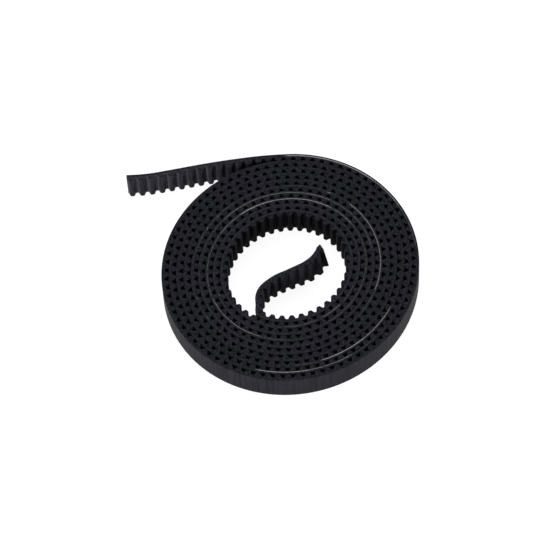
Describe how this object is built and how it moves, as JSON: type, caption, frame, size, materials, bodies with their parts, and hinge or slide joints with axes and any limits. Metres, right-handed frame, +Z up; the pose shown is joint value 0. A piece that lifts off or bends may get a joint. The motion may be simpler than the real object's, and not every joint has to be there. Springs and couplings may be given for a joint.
{
  "type": "timing belt",
  "caption": "Open-ended rubber timing belt with rounded teeth and cord-reinforced back, wound flat into a loose coil with both ends free.",
  "frame": {"origin": "centre of the coil, on the surface that the coil's lower cut edge rests on", "axes": "+Z up along the coil's axis, across the belt's width; +X along the coil's longer overall extent, with the outer free end towards -X"},
  "size_m": [0.0573, 0.0516, 0.006],
  "materials": {
    "cover_rubber": "matt moulded rubber, lightly ribbed across the belt",
    "glass_cord": "twisted glass-fibre yarn, dark with pale loose strands at the cut edge",
    "tooth_rubber": "matt moulded rubber"
  },
  "bodies": {
    "root": {"back_cover": "cover_rubber", "tension_cords": "glass_cord", "teeth": "tooth_rubber"}
  },
  "joints": []
}
